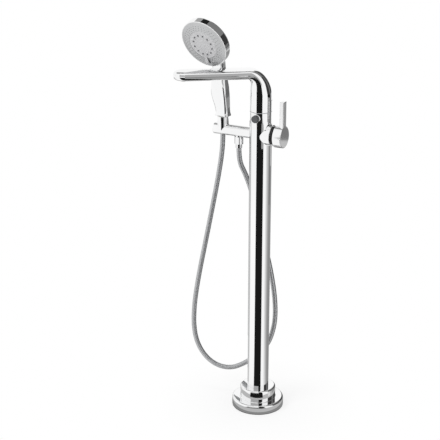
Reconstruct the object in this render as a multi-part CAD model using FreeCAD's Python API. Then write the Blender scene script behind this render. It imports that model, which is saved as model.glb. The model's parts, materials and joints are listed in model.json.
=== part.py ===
"""Floor standing bath filler: a column on a round base, with a crossbar, a swivel spout and a handset.

Millimetres, +Z up. The origin is the centre of the base's underside. The mixer and its lever point
to +X, the handset's arm to -X, and the front is -Y.
"""

import FreeCAD, Part
import math
import os

from FreeCAD import Placement, Rotation, Vector

os.makedirs("parts", exist_ok=True)

# ---- Clearances -----------------------------------------------------------------------------
running_gap = 0.05        # radial, round a shaft or sleeve that turns or slides
seat_gap = 0.1            # radial, between fixed pieces that slip together
body_gap = 0.3            # between a moving piece and what it passes

# ---- Base -----------------------------------------------------------------------------------
flange_diameter = 146.0
flange_height = 26.0
flange_rounding = 6.0
collar_diameter = 100.0
collar_rounding = 5.0
cover_height = 60.0
cover_wall = 2.5
gasket_thickness = 2.0
gasket_width = 4.0
plate_thickness = 8.0
plate_opening_diameter = 54.0
anchor_circle = 114.0
anchor_hole_diameter = 10.0
anchor_count = 4
foot_flange_diameter = 98.0
foot_flange_thickness = 6.0
foot_sleeve_wall = 6.0
foot_sleeve_height = 30.0
foot_screw_circle = 87.0
foot_screw_diameter = 5.0
foot_screw_count = 4
grub_screw_diameter = 6.0
grub_screw_count = 3
guide_ring_height = 8.0

# ---- Column ---------------------------------------------------------------------------------
column_diameter = 60.0
column_wall = 2.0
crossbar_height = 808.0
swivel_seam_rise = 64.0    # above the crossbar's axis
core_depth = 32.0         # how far the valve core reaches below the crossbar's axis

# ---- Supply pipes ---------------------------------------------------------------------------
pipe_diameter = 10.0
pipe_wall = 1.0
pipe_spacing = 26.0
pipe_flange_diameter = 17.0
pipe_flange_thickness = 2.5
inlet_bore_diameter = 18.8
inlet_bore_length = 12.5
inlet_nut_across_flats = 23.0
inlet_nut_wall = 3.0

# ---- Mixer ----------------------------------------------------------------------------------
core_boss_diameter = 46.8
mixer_diameter = 57.0
mixer_reach = 36.0
cartridge_seat = 10.5
cartridge_diameter = 35.0
cartridge_neck_diameter = 28.0
cartridge_shoulder = 28.0
cartridge_end = 35.5
cartridge_nut_diameter = 40.0
rotor_diameter = 22.0
rotor_length = 8.0
tilt_axis_reach = 33.0
tilt_range = 15.0
stem_width = 8.0
tilt_pin_diameter = 3.0
dome_diameter = 47.0
dome_reach = 46.0
dome_opening_diameter = 21.0
dome_wall = 3.0

# ---- Mixer handle ---------------------------------------------------------------------------
knob_diameter = 59.0
knob_near_face = 45.5
knob_length = 24.5
knob_wall = 2.6
knob_end_wall = 4.0
hub_diameter = 18.0
hub_length = 13.0
lever_thickness = 12.0
lever_width = 18.0
lever_height = 96.5
lever_rounding = 2.0
handle_screw_diameter = 5.0
handle_plug_diameter = 8.0

# ---- Diverter at the front of the column ----------------------------------------------------
diverter_rise = 50.0       # above the crossbar's axis
diverter_bore_diameter = 12.2
diverter_rod_diameter = 6.0
diverter_travel = 10.0
diverter_bush_diameter = 16.0
diverter_flange_diameter = 22.0
diverter_flange_reach = 32.0
diverter_knob_diameter = 20.0
diverter_knob_length = 7.0
diverter_land_length = 6.0
diverter_bush_depth = 18.0

# ---- Holder arm -----------------------------------------------------------------------------
arm_diameter = 30.0
arm_wall = 2.0
arm_overhang = 25.0       # beyond the cradle's axis
arm_cap_thickness = 2.0
arm_cap_plug = 6.0
arm_pipe_diameter = 18.0
arm_pipe_bore = 12.0
outlet_reach = 64.0
outlet_spigot_diameter = 20.0
outlet_drop = 25.0
union_nut_across_flats = 23.0
union_nut_height = 19.7
union_nut_lip = 6.0
hose_washer_thickness = 2.0
ferrule_diameter = 17.5
ferrule_height = 12.0
ferrule_collar = 2.0

# ---- Handset cradle -------------------------------------------------------------------------
cradle_reach = 112.0
cradle_diameter = 31.0
cradle_height = 21.0
cradle_wall = 1.0
cradle_floor = 3.0
cradle_shank_diameter = 22.0
liner_flange = 0.9

# ---- Shower hose ----------------------------------------------------------------------------
hose_diameter = 14.0
hose_guide_diameter = 16.4
cone_nut_length = 16.0
cone_nut_top_diameter = 24.0
cone_nut_bottom_diameter = 19.0
connector_diameter = 18.8
connector_length = 9.0
connector_seat_diameter = 16.0
connector_seat_depth = 12.0

# ---- Handset --------------------------------------------------------------------------------
handset_turn = -9.4       # degrees about the cradle, from the front towards -X
handset_lean = 8.6        # degrees, handle against the vertical
head_tilt = 23.2          # degrees, spray face below the horizontal direction
head_overhang = 17.5      # spray face's centre, in front of the cradle's axis and a head's radius
head_lift = 2.0           # spray face's centre, above the neck's top and a head's radius
neck_top = 140.0          # above the handle's lower end
throat_drop = 12.0        # from the neck's top down to where it is narrowest
taper_drop = 36.0         # down to where the handle starts to narrow
palm_drop = 100.0         # down to the handle's widest place
head_depth = 29.5
face_diameter = 133.0
rim_width = 2.0
face_thickness = 5.0
face_crown = 5.0
handle_width = 43.0
handle_thickness = 26.5
handle_rounding = 1.5     # round the handle's lower end
handle_corner = 7.0
neck_width = 36.0
neck_thickness = 22.0
neck_corner = 8.0
neck_setback = 3.0        # the neck's middle, behind the handle's line
selector_diameter = 82.0
selector_tab_reach = 61.0
selector_tab_width = 13.0
selector_raise = 3.0
selector_shaft_diameter = 16.0
selector_shaft_length = 9.0
nozzle_circle = 57.0
nozzle_diameter = 4.4
nozzle_count = 12
nozzle_raise = 1.6

# ---- Spout ----------------------------------------------------------------------------------
spout_turn = 33.0         # degrees from -X towards the front, where the spout rests
spout_rise = 180.0        # the spout's top, above the crossbar's axis
spout_reach = 232.0
spout_width = 56.0
spout_thickness = 26.0
spout_wall = 2.5
bend_rise = 85.0          # height of the bend's outer curve
bend_run = 60.0           # length of the bend's outer curve
inner_bend_radius = 9.0
swivel_range = 114.0      # degrees
outlet_length = 14.0
outlet_width = 36.0
outlet_setback = 26.0     # outlet's centre, back from the spout's end
socket_height = 28.0
nipple_diameter = 40.0
nipple_bore = 28.0
nipple_height = 30.0
nipple_flange_thickness = 4.0
swivel_washer_thickness = 1.5
o_ring_section = 2.4
o_ring_heights = (8.0, 23.0)
limit_screw_diameter = 6.0
limit_screw_height = 15.5
limit_groove_depth = 3.0

# ---- Worked out from the sizes above --------------------------------------------------------
column_radius = column_diameter / 2
swivel_seam_height = crossbar_height + swivel_seam_rise
spout_top = crossbar_height + spout_rise
arm_reach = cradle_reach + arm_overhang
head_diameter = face_diameter + 2 * rim_width
head_forward = head_diameter / 2 + head_overhang
head_rise = head_diameter / 2 + neck_top + head_lift
column_inner = column_radius - column_wall
plate_radius = flange_diameter / 2 - gasket_width - seat_gap
foot_base = plate_thickness
foot_ledge = foot_base + foot_flange_thickness
mixer_axis = Vector(0, 0, crossbar_height)
nipple_base = swivel_seam_height - nipple_flange_thickness
core_top = nipple_base - seat_gap
core_bottom = crossbar_height - core_depth
diverter_axis = Vector(0, 0, crossbar_height + diverter_rise)
spout_base = swivel_seam_height + swivel_washer_thickness + body_gap
knob_end = knob_near_face + knob_length
arm_underside = crossbar_height - arm_diameter / 2
arm_top = crossbar_height + arm_diameter / 2
union_nut_top = arm_underside - body_gap
union_nut_bottom = union_nut_top - union_nut_height
ferrule_bottom = union_nut_bottom - ferrule_height
cradle_top = arm_top + cradle_height
handset_base = cradle_top + body_gap + liner_flange + body_gap
cone_nut_bottom = handset_base - cone_nut_length
hose_top = cone_nut_bottom - body_gap

circle_handle = 4 / 3 * (math.sqrt(2) - 1)  # a cubic curve's handle for a quarter circle of radius 1

X_AXIS = Vector(1, 0, 0)
Y_AXIS = Vector(0, 1, 0)
Z_AXIS = Vector(0, 0, 1)
FRONT = Vector(0, -1, 0)


# ---- Helpers --------------------------------------------------------------------------------
def cylinder(diameter, start, end, axis=Z_AXIS, origin=Vector(0, 0, 0)):
    """A cylinder along axis, from start to end as measured from origin."""
    return Part.makeCylinder(diameter / 2, end - start, origin + axis * start, axis)


def tube(outer, inner, start, end, axis=Z_AXIS, origin=Vector(0, 0, 0)):
    """A cylinder with a bore right through it."""
    bore = cylinder(inner, start - 1, end + 1, axis, origin)
    return cylinder(outer, start, end, axis, origin).cut(bore)


def hexagon(across_flats, start, end, origin):
    """A hexagonal prism along Z, with two flats that face +Y and -Y."""
    radius = across_flats / 2 / math.cos(math.pi / 6)
    corners = []
    for k in range(7):
        angle = math.radians(60 * k)
        corners.append(origin + Vector(radius * math.cos(angle), radius * math.sin(angle), start))
    return Part.Face(Part.makePolygon(corners)).extrude(Vector(0, 0, end - start))


def rounded_path(points, radii, closed=False):
    """Straight runs through points, with a tangent arc of the given radius at each corner."""
    count = len(points)
    entries = []
    exits = []
    arcs = []
    for k in range(count):
        radius = radii[k]
        if radius <= 0 or (not closed and k in (0, count - 1)):
            entries.append(points[k])
            exits.append(points[k])
            arcs.append(None)
            continue
        back = (points[k - 1] - points[k]).normalize()
        ahead = (points[(k + 1) % count] - points[k]).normalize()
        half = back.getAngle(ahead) / 2
        setback = radius / math.tan(half)
        middle = (back + ahead).normalize() * (radius / math.sin(half) - radius)
        entries.append(points[k] + back * setback)
        exits.append(points[k] + ahead * setback)
        arcs.append(points[k] + middle)
    edges = []
    for k in range(count):
        if arcs[k] is not None:
            edges.append(Part.Arc(entries[k], arcs[k], exits[k]).toShape())
        if k == count - 1 and not closed:
            break
        following = entries[(k + 1) % count]
        if exits[k].distanceToPoint(following) > 1e-6:
            edges.append(Part.LineSegment(exits[k], following).toShape())
    return Part.Wire(edges)


def turned(profile, origin=Vector(0, 0, 0), axis=Z_AXIS):
    """Revolves a closed profile of (radius, distance along axis, corner rounding)."""
    points = [Vector(p[0], 0, p[1]) for p in profile]
    radii = [p[2] if len(p) > 2 else 0 for p in profile]
    solid = Part.Face(rounded_path(points, radii, closed=True)).revolve(Vector(), Z_AXIS, 360)
    solid.Placement = Placement(origin, Rotation(Z_AXIS, axis))
    return solid


def round_pattern(make, count, first_angle=0.0):
    """A group of separate solids, one for each place on a circle about Z."""
    copies = []
    for k in range(count):
        copy = make()
        copy.rotate(Vector(), Z_AXIS, first_angle + 360.0 * k / count)
        copies.append(copy)
    return copies


def save(name, shape):
    """Writes one node."""
    shape.exportStep("parts/" + name + ".step")


# ---- Base -----------------------------------------------------------------------------------
def base_parts():
    flange = flange_diameter / 2
    collar = collar_diameter / 2
    hole = column_radius + seat_gap
    inner_rounding = flange_rounding - cover_wall
    cover = turned([
        (flange, gasket_thickness),
        (flange, flange_height, flange_rounding),
        (collar, flange_height, 1.5),
        (collar, cover_height, collar_rounding),
        (hole, cover_height),
        (hole, cover_height - cover_wall),
        (collar - cover_wall, cover_height - cover_wall, collar_rounding - cover_wall),
        (collar - cover_wall, flange_height - cover_wall),
        (flange - cover_wall, flange_height - cover_wall, inner_rounding),
        (flange - cover_wall, gasket_thickness),
    ])
    save("base_cover", cover)
    gasket_inner = flange_diameter - 2 * gasket_width
    save("base_gasket", tube(flange_diameter - 1, gasket_inner, 0, gasket_thickness))

    plate = tube(2 * plate_radius, plate_opening_diameter, 0, plate_thickness)
    anchor_place = Vector(anchor_circle / 2, 0, 0)

    def anchor_hole():
        return cylinder(anchor_hole_diameter, -1, plate_thickness + 1, origin=anchor_place)

    screw_place = Vector(foot_screw_circle / 2, 0, 0)

    def screw_hole():
        return cylinder(foot_screw_diameter + 2 * seat_gap, -1, foot_ledge + 1, origin=screw_place)

    screw_holes = round_pattern(screw_hole, foot_screw_count)
    plate = plate.cut(round_pattern(anchor_hole, anchor_count, 45) + screw_holes)
    save("floor_plate", plate)

    sleeve = column_radius + foot_sleeve_wall
    sleeve_top = foot_ledge + foot_sleeve_height
    foot = turned([
        (plate_opening_diameter / 2, foot_base),
        (foot_flange_diameter / 2, foot_base),
        (foot_flange_diameter / 2, foot_ledge, 1.5),
        (sleeve, foot_ledge, 2.0),
        (sleeve, sleeve_top, 1.5),
        (column_radius + seat_gap, sleeve_top),
        (column_radius + seat_gap, foot_ledge),
        (plate_opening_diameter / 2, foot_ledge),
    ])
    grub_height = foot_ledge + foot_sleeve_height * 0.6
    grub_origin = Vector(0, 0, grub_height)

    def grub_hole():
        diameter = grub_screw_diameter + 2 * seat_gap
        return cylinder(diameter, column_radius - 1, sleeve + 1, X_AXIS, grub_origin)

    def grub_screw():
        screw = cylinder(grub_screw_diameter, column_radius + running_gap, sleeve, X_AXIS, grub_origin)
        socket = cylinder(grub_screw_diameter / 2, sleeve - 2.5, sleeve + 1, X_AXIS, grub_origin)
        return screw.cut(socket)

    foot = foot.cut(screw_holes + round_pattern(grub_hole, grub_screw_count, 90))
    save("column_foot", foot)
    save("foot_grub_screws", Part.makeCompound(round_pattern(grub_screw, grub_screw_count, 90)))

    def foot_screw():
        shank = cylinder(foot_screw_diameter, 1, foot_ledge, origin=screw_place)
        head = cylinder(foot_screw_diameter * 1.7, foot_ledge, foot_ledge + 3, origin=screw_place)
        socket = cylinder(foot_screw_diameter / 2, foot_ledge + 1.2, foot_ledge + 4, origin=screw_place)
        return shank.fuse(head).cut(socket).removeSplitter()

    save("foot_screws", Part.makeCompound(round_pattern(foot_screw, foot_screw_count)))

    ring_top = cover_height - cover_wall
    ring_outer = collar_diameter - 2 * cover_wall - 2 * collar_rounding
    guide = tube(ring_outer, column_diameter + 2 * seat_gap, ring_top - guide_ring_height, ring_top)
    save("cover_guide_ring", guide)


# ---- Column and supply pipes ----------------------------------------------------------------
def column_parts():
    column = tube(column_diameter, 2 * column_inner, foot_ledge, swivel_seam_height)
    boss_hole = cylinder(core_boss_diameter + 2 * seat_gap, 0, column_diameter, X_AXIS, mixer_axis)
    arm_hole = cylinder(arm_pipe_diameter + 2 * seat_gap, 0, column_diameter, -X_AXIS, mixer_axis)
    diverter_hole = cylinder(diverter_bush_diameter + 2 * seat_gap, 0, column_diameter, FRONT, diverter_axis)
    save("column_tube", column.cut([boss_hole, arm_hole, diverter_hole]))

    thread_top = gasket_thickness + inlet_bore_length
    flange_base = thread_top + body_gap
    nut_shelf = flange_base + pipe_flange_thickness
    for name, side in (("hot", -1), ("cold", 1)):
        place = Vector(0, side * pipe_spacing / 2, 0)
        pipe = cylinder(pipe_diameter, flange_base, core_bottom + pipe_diameter, origin=place)
        flange = cylinder(pipe_flange_diameter, flange_base, nut_shelf, origin=place)
        bore = cylinder(pipe_diameter - 2 * pipe_wall, 0, crossbar_height, origin=place)
        save(name + "_supply_pipe", pipe.fuse(flange).cut(bore).removeSplitter())
        nut = hexagon(inlet_nut_across_flats, gasket_thickness, nut_shelf + inlet_nut_wall, place)
        thread = cylinder(inlet_bore_diameter, 0, thread_top, origin=place)
        pocket = cylinder(pipe_flange_diameter + 2 * seat_gap, 0, nut_shelf, origin=place)
        opening = cylinder(pipe_diameter + 2 * seat_gap, 0, 2 * nut_shelf, origin=place)
        save(name + "_inlet_nut", nut.cut([thread, pocket, opening]))


# ---- Mixer ----------------------------------------------------------------------------------
def valve_core():
    core = cylinder(2 * (column_inner - seat_gap), core_bottom, core_top)
    boss = cylinder(core_boss_diameter, 0, cartridge_end - 1.5, X_AXIS, mixer_axis)
    core = core.fuse(boss)
    cartridge_bore = cylinder(
        cartridge_diameter + 2 * seat_gap, cartridge_seat, mixer_reach, X_AXIS, mixer_axis
    )
    nut_bore = cylinder(
        cartridge_nut_diameter + 2 * seat_gap, cartridge_shoulder, mixer_reach, X_AXIS, mixer_axis
    )
    arm_bore = cylinder(arm_pipe_diameter + 2 * seat_gap, 15, column_radius, -X_AXIS, mixer_axis)
    shower_way = cylinder(arm_pipe_bore, 0, 16, -X_AXIS, mixer_axis)
    spool_bore = cylinder(diverter_bore_diameter, -14, column_radius, FRONT, diverter_axis)
    bush_bore = cylinder(
        diverter_bush_diameter + 2 * seat_gap, diverter_bush_depth, column_radius, FRONT, diverter_axis
    )
    spout_way = cylinder(arm_pipe_bore, crossbar_height, core_top + 1)
    ways = [cartridge_bore, nut_bore, arm_bore, shower_way, spool_bore, bush_bore, spout_way]
    for side in (-1, 1):
        place = Vector(0, side * pipe_spacing / 2, 0)
        socket_top = core_bottom + pipe_diameter
        ways.append(cylinder(pipe_diameter + 2 * seat_gap, core_bottom - 1, socket_top, origin=place))
    return core.cut(ways).removeSplitter()


def mixer_parts():
    save("valve_core", valve_core())
    sleeve = turned([
        (core_boss_diameter / 2 + seat_gap, 10.0),
        (mixer_diameter / 2, 10.0),
        (mixer_diameter / 2, mixer_reach, 1.0),
        (cartridge_nut_diameter / 2 + 1, mixer_reach),
        (cartridge_nut_diameter / 2 + 1, cartridge_end - 1.5 + seat_gap),
        (core_boss_diameter / 2 + seat_gap, cartridge_end - 1.5 + seat_gap),
    ], mixer_axis, X_AXIS)
    save("mixer_body", sleeve.cut(cylinder(column_diameter + 2 * seat_gap, core_bottom, core_top)))

    cartridge = turned([
        (0, cartridge_seat),
        (cartridge_diameter / 2, cartridge_seat),
        (cartridge_diameter / 2, cartridge_shoulder),
        (cartridge_neck_diameter / 2, cartridge_shoulder),
        (cartridge_neck_diameter / 2, cartridge_end, 0.8),
        (rotor_diameter / 2 + running_gap, cartridge_end),
        (rotor_diameter / 2 + running_gap, cartridge_end - rotor_length + 1),
        (0, cartridge_end - rotor_length + 1),
    ], mixer_axis, X_AXIS)
    save("cartridge_body", cartridge)
    nut_inner = cartridge_neck_diameter + 2 * seat_gap
    nut = tube(cartridge_nut_diameter, nut_inner, cartridge_shoulder, cartridge_end - 1.5, X_AXIS, mixer_axis)
    save("cartridge_nut", nut)

    rotor_start = cartridge_end - rotor_length + 1 + running_gap
    rotor = cylinder(rotor_diameter, rotor_start, rotor_start + rotor_length, X_AXIS, mixer_axis)
    slot_width = stem_width + 2 * running_gap
    swing = rotor_length * math.tan(math.radians(tilt_range)) + 2 * body_gap
    slot = Part.makeBox(rotor_length * 2, slot_width, stem_width + 2 * swing)
    slot_start = tilt_axis_reach - stem_width / 2
    slot.translate(Vector(slot_start, -slot_width / 2, crossbar_height - stem_width / 2 - swing))
    pin_origin = mixer_axis + X_AXIS * tilt_axis_reach
    pin_length = rotor_diameter * 0.8
    pin_hole = cylinder(
        tilt_pin_diameter + 2 * running_gap, -pin_length, pin_length, Y_AXIS, pin_origin
    )
    pin = cylinder(tilt_pin_diameter, -pin_length / 2, pin_length / 2, Y_AXIS, pin_origin)
    save("cartridge_rotor", rotor.cut([slot, pin_hole]))
    save("tilt_pin", pin)

    dome = dome_diameter / 2
    dome_hole = dome_opening_diameter / 2
    neck_step = dome - 7.5
    save("seal_dome", turned([
        (dome, mixer_reach),
        (dome, mixer_reach + 5, 2.5),
        (neck_step, dome_reach - 0.5, 4.0),
        (dome_hole, dome_reach),
        (dome_hole, dome_reach - dome_wall / 2),
        (neck_step - dome_wall / 2, dome_reach - dome_wall, 2.0),
        (dome - dome_wall, mixer_reach + 4),
        (dome - dome_wall, mixer_reach),
    ], mixer_axis, X_AXIS))
    return pin_hole


# ---- Mixer handle ---------------------------------------------------------------------------
def handle_parts(pin_hole):
    knob = turned([
        (knob_diameter / 2 - knob_wall, knob_near_face),
        (knob_diameter / 2, knob_near_face, 1.0),
        (knob_diameter / 2, knob_end, 2.0),
        (0, knob_end),
        (0, knob_end - knob_end_wall - hub_length),
        (hub_diameter / 2, knob_end - knob_end_wall - hub_length),
        (hub_diameter / 2, knob_end - knob_end_wall),
        (knob_diameter / 2 - knob_wall, knob_end - knob_end_wall, 2.0),
    ], mixer_axis, X_AXIS)
    lever_top = crossbar_height + lever_height
    lever_root = crossbar_height + knob_diameter / 2 - knob_wall - 0.5
    lever = Part.makeBox(lever_thickness, lever_width, lever_top - lever_root)
    lever.translate(Vector(knob_end - lever_thickness, -lever_width / 2, lever_root))
    upright = [e for e in lever.Edges if e.BoundBox.ZLength > 1]
    lever = lever.makeFillet(lever_rounding, upright)
    top = [e for e in lever.Edges if e.BoundBox.ZMin > lever_top - 1e-4]
    lever = lever.makeFillet(lever_rounding * 0.75, top)
    handle = knob.fuse(lever).removeSplitter()

    stem_start = tilt_axis_reach - stem_width / 2 + 1
    stem_end = knob_end - knob_end_wall - 2
    stem = Part.makeBox(stem_end - stem_start, stem_width, stem_width)
    stem.translate(Vector(stem_start, -stem_width / 2, crossbar_height - stem_width / 2))
    save("cartridge_stem", stem.cut(pin_hole))
    socket_width = stem_width + 2 * seat_gap
    socket_start = knob_near_face
    socket = Part.makeBox(stem_end + seat_gap - socket_start, socket_width, socket_width)
    socket.translate(Vector(socket_start, -socket_width / 2, crossbar_height - socket_width / 2))

    screw_place = mixer_axis + X_AXIS * (knob_end - knob_end_wall - hub_length / 2)
    screw_hole = cylinder(
        handle_screw_diameter + 2 * seat_gap, 0, knob_diameter / 3, -Z_AXIS, screw_place
    )
    plug_start = knob_diameter / 2 - knob_wall
    plug_hole = cylinder(handle_plug_diameter, plug_start - 1, knob_diameter, -Z_AXIS, screw_place)
    save("mixer_handle", handle.cut([socket, screw_hole, plug_hole]))
    screw = cylinder(handle_screw_diameter, stem_width / 2, hub_diameter / 2, -Z_AXIS, screw_place)
    hex_socket = cylinder(
        handle_screw_diameter / 2, hub_diameter / 2 - 2, hub_diameter, -Z_AXIS, screw_place
    )
    save("handle_screw", screw.cut(hex_socket))
    plug_diameter = handle_plug_diameter - 2 * seat_gap
    plug = cylinder(plug_diameter, plug_start, plug_start + knob_wall, -Z_AXIS, screw_place)
    plug = plug.common(cylinder(knob_diameter, knob_near_face, knob_end, X_AXIS, mixer_axis))
    save("handle_plug", plug)


# ---- Diverter -------------------------------------------------------------------------------
def diverter_parts():
    rod_hole = diverter_rod_diameter + 2 * running_gap
    flange_radius = diverter_flange_diameter / 2
    flange_base = math.sqrt(column_radius ** 2 - flange_radius ** 2) - 1
    bush = cylinder(
        diverter_bush_diameter, diverter_bush_depth, diverter_flange_reach, FRONT, diverter_axis
    )
    flange = turned([
        (0, flange_base),
        (flange_radius, flange_base),
        (flange_radius, diverter_flange_reach, 0.8),
        (0, diverter_flange_reach),
    ], diverter_axis, FRONT)
    flange = flange.cut(cylinder(column_diameter + 2 * seat_gap, core_bottom, swivel_seam_height))
    hole = cylinder(rod_hole, 0, column_diameter, FRONT, diverter_axis)
    save("diverter_bush", bush.fuse(flange).cut(hole).removeSplitter())

    land_start = diverter_bush_depth - diverter_travel - diverter_land_length - body_gap
    knob_start = diverter_flange_reach + 1
    knob_front = knob_start + diverter_knob_length
    rod_end = knob_start + diverter_knob_length * 0.7
    rod = cylinder(diverter_rod_diameter, land_start - 4, rod_end, FRONT, diverter_axis)
    land_diameter = diverter_bore_diameter - 2 * running_gap
    land_end = land_start + diverter_land_length
    land = cylinder(land_diameter, land_start, land_end, FRONT, diverter_axis)
    save("diverter_spool", rod.fuse(land).removeSplitter())
    knob = turned([
        (0, knob_start),
        (diverter_knob_diameter * 0.35, knob_start),
        (diverter_knob_diameter / 2, knob_start + 1.5, 0.8),
        (diverter_knob_diameter / 2, knob_front, 1.2),
        (0, knob_front),
    ], diverter_axis, FRONT)
    rod_socket = cylinder(
        diverter_rod_diameter + 2 * seat_gap, 0, rod_end + seat_gap, FRONT, diverter_axis
    )
    save("diverter_knob", knob.cut(rod_socket))


# ---- Holder arm, hose outlet and cradle -----------------------------------------------------
def arm_parts():
    outlet = Vector(-outlet_reach, 0, 0)
    cradle = Vector(-cradle_reach, 0, 0)
    column_clear = cylinder(column_diameter + 2 * seat_gap, core_bottom, core_top)
    spigot_hole = cylinder(outlet_spigot_diameter + 2 * seat_gap, 0, crossbar_height, origin=outlet)
    shank_hole = cylinder(cradle_shank_diameter + 2 * seat_gap, 0, swivel_seam_height, origin=cradle)
    arm = tube(
        arm_diameter, arm_diameter - 2 * arm_wall, 0, arm_reach - arm_cap_thickness, -X_AXIS, mixer_axis
    )
    save("holder_arm", arm.cut([column_clear, spigot_hole, shank_hole]))

    plug_end = arm_reach - arm_cap_thickness - arm_cap_plug
    cap = turned([
        (0, plug_end),
        (arm_diameter / 2 - arm_wall - seat_gap, plug_end, 0.5),
        (arm_diameter / 2 - arm_wall - seat_gap, arm_reach - arm_cap_thickness),
        (arm_diameter / 2, arm_reach - arm_cap_thickness),
        (arm_diameter / 2, arm_reach, 1.5),
        (0, arm_reach),
    ], mixer_axis, -X_AXIS)
    save("arm_end_cap", cap)

    elbow_near = outlet_reach - arm_diameter * 0.43
    pipe_end = outlet_reach - outlet_spigot_diameter * 0.2
    save("arm_water_pipe", tube(arm_pipe_diameter, arm_pipe_bore, 16, pipe_end, -X_AXIS, mixer_axis))
    elbow_diameter = arm_diameter - 2 * arm_wall - 2 * seat_gap
    elbow = cylinder(elbow_diameter, elbow_near, outlet_reach + elbow_diameter / 2, -X_AXIS, mixer_axis)
    washer_top = union_nut_bottom + union_nut_lip + ferrule_collar + hose_washer_thickness
    spigot = cylinder(outlet_spigot_diameter, washer_top, crossbar_height, origin=outlet)
    pipe_socket = cylinder(arm_pipe_diameter + 2 * seat_gap, 0, pipe_end, -X_AXIS, mixer_axis)
    cross_way = cylinder(arm_pipe_bore, 0, outlet_reach, -X_AXIS, mixer_axis)
    down_way = cylinder(arm_pipe_bore, 0, crossbar_height, origin=outlet)
    elbow = elbow.fuse(spigot).cut([pipe_socket, cross_way, down_way]).removeSplitter()
    save("outlet_elbow", elbow)
    valve_bottom = washer_top + 1
    valve_top = valve_bottom + 10
    valve = tube(arm_pipe_bore - 2 * seat_gap, arm_pipe_bore * 0.5, valve_bottom, valve_top, origin=outlet)
    save("check_valve", valve)

    nut = hexagon(union_nut_across_flats, union_nut_bottom, union_nut_top, outlet)
    nut = nut.common(cylinder(union_nut_across_flats * 1.1, union_nut_bottom, union_nut_top, origin=outlet))
    lip_top = union_nut_bottom + union_nut_lip
    thread = cylinder(outlet_spigot_diameter + 2 * seat_gap, lip_top, union_nut_top + 1, origin=outlet)
    neck_diameter = hose_diameter + 1
    opening = cylinder(neck_diameter + 2 * seat_gap, 0, union_nut_top, origin=outlet)
    save("hose_union_nut", nut.cut([thread, opening]))
    ferrule = turned([
        (hose_diameter / 4, ferrule_bottom),
        (ferrule_diameter / 2, ferrule_bottom, 0.8),
        (ferrule_diameter / 2, union_nut_bottom - 0.2, 0.8),
        (neck_diameter / 2, union_nut_bottom - 0.2),
        (neck_diameter / 2, lip_top),
        (outlet_spigot_diameter / 2, lip_top),
        (outlet_spigot_diameter / 2, lip_top + ferrule_collar),
        (hose_diameter / 4, lip_top + ferrule_collar),
    ], outlet)
    save("hose_ferrule", ferrule)
    washer = tube(
        outlet_spigot_diameter, arm_pipe_bore, washer_top - hose_washer_thickness, washer_top, origin=outlet
    )
    save("hose_washer", washer)


def cradle_parts():
    place = Vector(-cradle_reach, 0, 0)
    cup_inner = cradle_diameter / 2 - cradle_wall
    arm_body = cylinder(arm_diameter + 2 * seat_gap, 0, arm_reach + 1, -X_AXIS, mixer_axis)
    cup = cylinder(cradle_diameter, crossbar_height, cradle_top, origin=place).cut(arm_body)
    upper_shank = cylinder(cradle_shank_diameter, crossbar_height, arm_top + 1, origin=place)
    lower_shank = cylinder(cradle_shank_diameter, arm_underside, crossbar_height, origin=place)
    lower_shank = lower_shank.common(cylinder(arm_diameter, 0, arm_reach, -X_AXIS, mixer_axis))
    cup = cup.fuse([upper_shank, lower_shank])
    hollow = cylinder(2 * cup_inner, arm_top + cradle_floor, cradle_top + 1, origin=place)
    guide = cylinder(hose_guide_diameter, 0, cradle_top, origin=place)
    save("cradle_cup", cup.cut([hollow, guide]).removeSplitter())

    slope = (cone_nut_top_diameter - cone_nut_bottom_diameter) / 2 / cone_nut_length
    liner_bottom = arm_top + cradle_floor + body_gap
    flange_base = cradle_top + body_gap
    flange_top = flange_base + liner_flange

    def cone_radius(height):
        return cone_nut_bottom_diameter / 2 + (height - cone_nut_bottom) * slope

    save("cradle_liner", turned([
        (cone_radius(cone_nut_bottom) + seat_gap, liner_bottom),
        (cup_inner - running_gap, liner_bottom),
        (cup_inner - running_gap, flange_base),
        (cradle_diameter / 2, flange_base),
        (cradle_diameter / 2, flange_top),
        (cone_radius(flange_top) + seat_gap, flange_top),
        (cone_radius(cone_nut_bottom) + seat_gap, cone_nut_bottom),
    ], place))

    connector_bottom = handset_base - connector_length
    save("hose_cone_nut", turned([
        (hose_diameter * 0.35, cone_nut_bottom),
        (cone_radius(cone_nut_bottom), cone_nut_bottom, 0.8),
        (cone_radius(handset_base - seat_gap), handset_base - seat_gap),
        (connector_diameter / 2 + seat_gap, handset_base - seat_gap),
        (connector_diameter / 2 + seat_gap, connector_bottom - hose_washer_thickness),
        (hose_diameter * 0.35, connector_bottom - hose_washer_thickness),
    ], place))
    washer_bottom = connector_bottom - hose_washer_thickness
    washer = tube(connector_diameter, hose_diameter * 0.7, washer_bottom, connector_bottom, origin=place)
    save("handset_washer", washer)


# ---- Shower hose ----------------------------------------------------------------------------
# From the outlet down behind the column, round to the left and up through the arm to the cradle.
hose_route = [
    (-outlet_reach, 0, ferrule_bottom),
    (-outlet_reach, 0, 724),
    (-52, 16, 684),
    (-44, 34, 638),
    (-34, 49, 582),
    (-21, 56, 508),
    (9, 57, 402),
    (29, 52, 300),
    (28, 48, 222),
    (1, 46, 150),
    (-70, 42, 86),
    (-118, 36, 67),
    (-167, 30, 80),
    (-203, 25, 122),
    (-218, 22, 180),
    (-214, 19, 262),
    (-196, 15, 360),
    (-173, 11, 462),
    (-150, 7, 566),
    (-129, 3, 662),
    (-116, 1, 735),
    (-cradle_reach, 0, 785),
    (-cradle_reach, 0, hose_top),
]


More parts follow.
